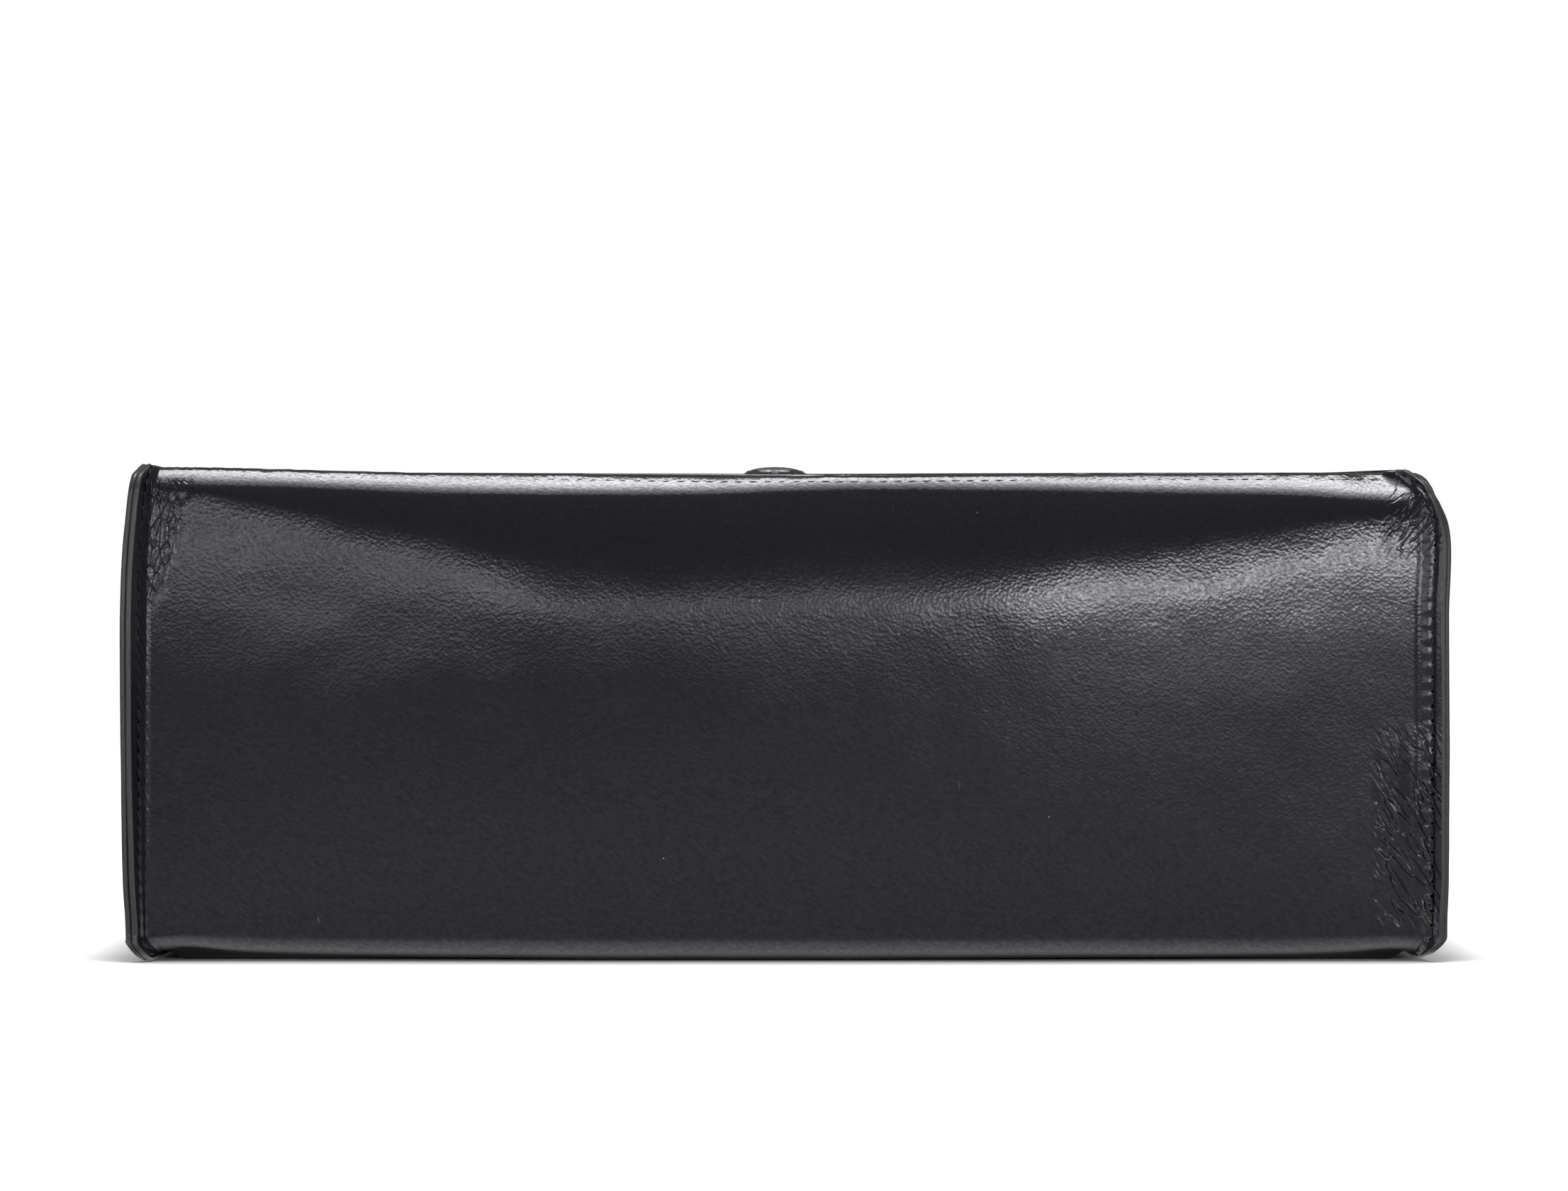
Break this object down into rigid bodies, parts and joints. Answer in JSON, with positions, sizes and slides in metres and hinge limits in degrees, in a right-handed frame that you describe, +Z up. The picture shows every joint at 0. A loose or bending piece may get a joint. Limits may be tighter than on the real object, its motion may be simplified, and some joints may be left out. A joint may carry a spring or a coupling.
{
  "type": "hat box",
  "caption": "Low rectangular hat box in polished black leather, with turned-out stitched end seams, a lid on a lapped leather hinge, a lay-flat handle and a closing tab.",
  "frame": {"origin": "middle of the box's outline from above, on the face it stands on", "axes": "+Z up; -Y faces out of the hinge wall, +Y out of the front wall with the closing tab; X along the box from end seam to end seam"},
  "size_m": [0.3648, 0.3288, 0.1396],
  "materials": {
    "black_leather": "polished smooth hide",
    "stiffener_board": "grey-brown millboard",
    "lining_cloth": "plain woven cloth",
    "felt": "felt filling",
    "dark_metal": "darkened nickel"
  },
  "bodies": {
    "case": {"body_wrap": "black_leather", "left_end_panel": "black_leather", "right_end_panel": "black_leather", "lid_hinge_margin": "black_leather", "front_wall_board": "stiffener_board", "rear_wall_board": "stiffener_board", "left_end_board": "stiffener_board", "right_end_board": "stiffener_board", "base_board": "stiffener_board", "case_lining": "lining_cloth", "rim_facing": "black_leather", "closure_keeper": "dark_metal"},
    "lid": {"lid_hide": "black_leather", "lid_board": "stiffener_board", "lid_lining": "lining_cloth", "handle_studs": "dark_metal", "tab_anchor": "black_leather", "tab_rivets": "dark_metal"},
    "handle_grip": {"handle_grip": "black_leather", "handle_core": "felt"},
    "front_strap": {"handle_front_strap": "black_leather"},
    "rear_strap": {"handle_rear_strap": "black_leather"},
    "closing_tab": {"closing_tab": "black_leather", "tab_magnet": "dark_metal"}
  },
  "joints": [
    {"name": "lid_swing", "type": "hinge", "parent": "case", "child": "lid", "pos_m": [0, -0.15024, 0.137], "axis": [1, 0, 0], "range_deg": [0, 180]},
    {"name": "handle_lift", "type": "slide", "parent": "lid", "child": "handle_grip", "axis": [0, 0, 1], "range_m": [0, 0.026]},
    {"name": "front_strap_draw", "type": "slide", "parent": "handle_grip", "child": "front_strap", "axis": [0, -0.2249, -0.9744], "range_m": [0, 0.02669]},
    {"name": "rear_strap_draw", "type": "slide", "parent": "handle_grip", "child": "rear_strap", "axis": [0, 0.2249, -0.9744], "range_m": [0, 0.02669]},
    {"name": "tab_lift", "type": "hinge", "parent": "lid", "child": "closing_tab", "pos_m": [0, 0.16317, 0.09], "axis": [1, 0, 0], "range_deg": [0, 90]}
  ],
  "couplings": [
    {"joint": "front_strap_draw", "follows": "handle_lift", "ratio": 1.0263},
    {"joint": "rear_strap_draw", "follows": "handle_lift", "ratio": 1.0263}
  ]
}
